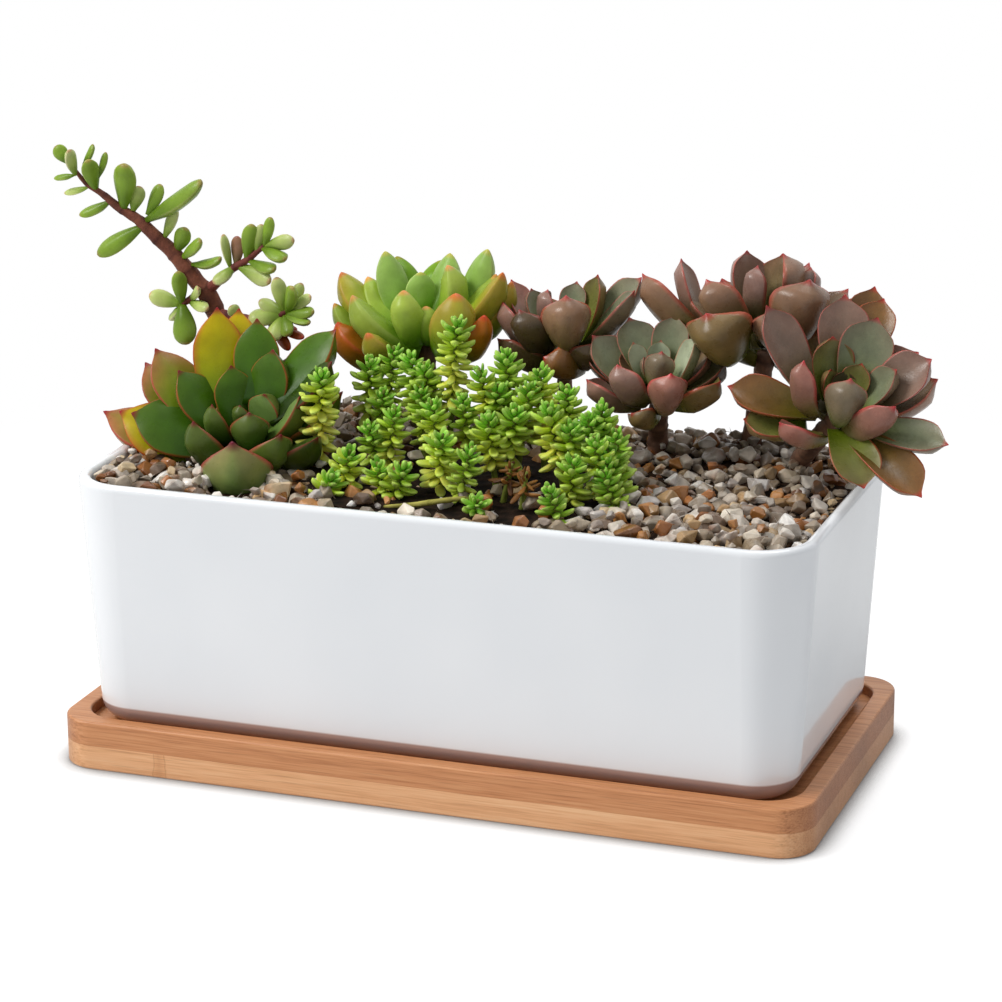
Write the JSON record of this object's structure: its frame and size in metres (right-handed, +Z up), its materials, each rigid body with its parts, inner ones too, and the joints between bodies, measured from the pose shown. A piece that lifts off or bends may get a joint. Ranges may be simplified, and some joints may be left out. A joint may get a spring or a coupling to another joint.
{
  "type": "succulent planter",
  "caption": "Rectangular white glazed planter holding mixed succulents in gravel, standing loose in a routed bamboo drip tray and lifting straight off it.",
  "frame": {"origin": "centre of the tray's flat underside, on the surface that it stands on", "axes": "+X along the trough, to the right seen from the front; +Y to the back; +Z up"},
  "size_m": [0.214, 0.0901, 0.129],
  "materials": {
    "bamboo_dark_ply": "oiled carbonised bamboo, long fibre lines",
    "bamboo_light_ply": "oiled bamboo, lighter, with node marks",
    "white_glaze": "smooth glossy white glaze",
    "mesh_plastic": "black moulded net",
    "potting_mix": "dark bark and coir mix",
    "roots": "fine roots held in peat",
    "gravel": "mixed quartz grit",
    "pebble_white": "milky quartz, a little translucent",
    "pebble_tan": "tan and amber quartz",
    "pebble_grey": "grey translucent quartz",
    "leaf_green": "waxy green leaf with red margins",
    "leaf_pale_green": "waxy pale green leaf with orange tips",
    "leaf_bronze": "waxy bronze leaf with pink margins",
    "leaf_bush": "small fleshy green leaves on a red-brown stem",
    "leaf_lime": "small lime leaves, green at the tips"
  },
  "bodies": {
    "tray": {"tray_bottom_ply": "bamboo_light_ply", "tray_top_ply": "bamboo_dark_ply"},
    "planter": {"bronze_rosette_back": "leaf_bronze", "bronze_rosette_back_root_plug": "roots", "bronze_rosette_front": "leaf_bronze", "bronze_rosette_front_root_plug": "roots", "bronze_rosette_left": "leaf_bronze", "bronze_rosette_left_root_plug": "roots", "bronze_rosette_small": "leaf_bronze", "bronze_rosette_small_root_plug": "roots", "drain_mesh": "mesh_plastic", "elephant_bush": "leaf_bush", "elephant_bush_root_plug": "roots", "gravel_bed": "gravel", "green_echeveria": "leaf_green", "green_echeveria_root_plug": "roots", "pebbles_grey": "pebble_grey", "pebbles_tan": "pebble_tan", "pebbles_white": "pebble_white", "plump_rosette": "leaf_pale_green", "plump_rosette_root_plug": "roots", "pot": "white_glaze", "potting_mix": "potting_mix", "sedum_crown": "potting_mix", "sedum_root_plug": "roots", "sedum_sprigs": "leaf_lime"}
  },
  "joints": [
    {"name": "pot_lift", "type": "slide", "parent": "tray", "child": "planter", "axis": [0, 0, 1], "range_m": [0, 0.07]}
  ]
}
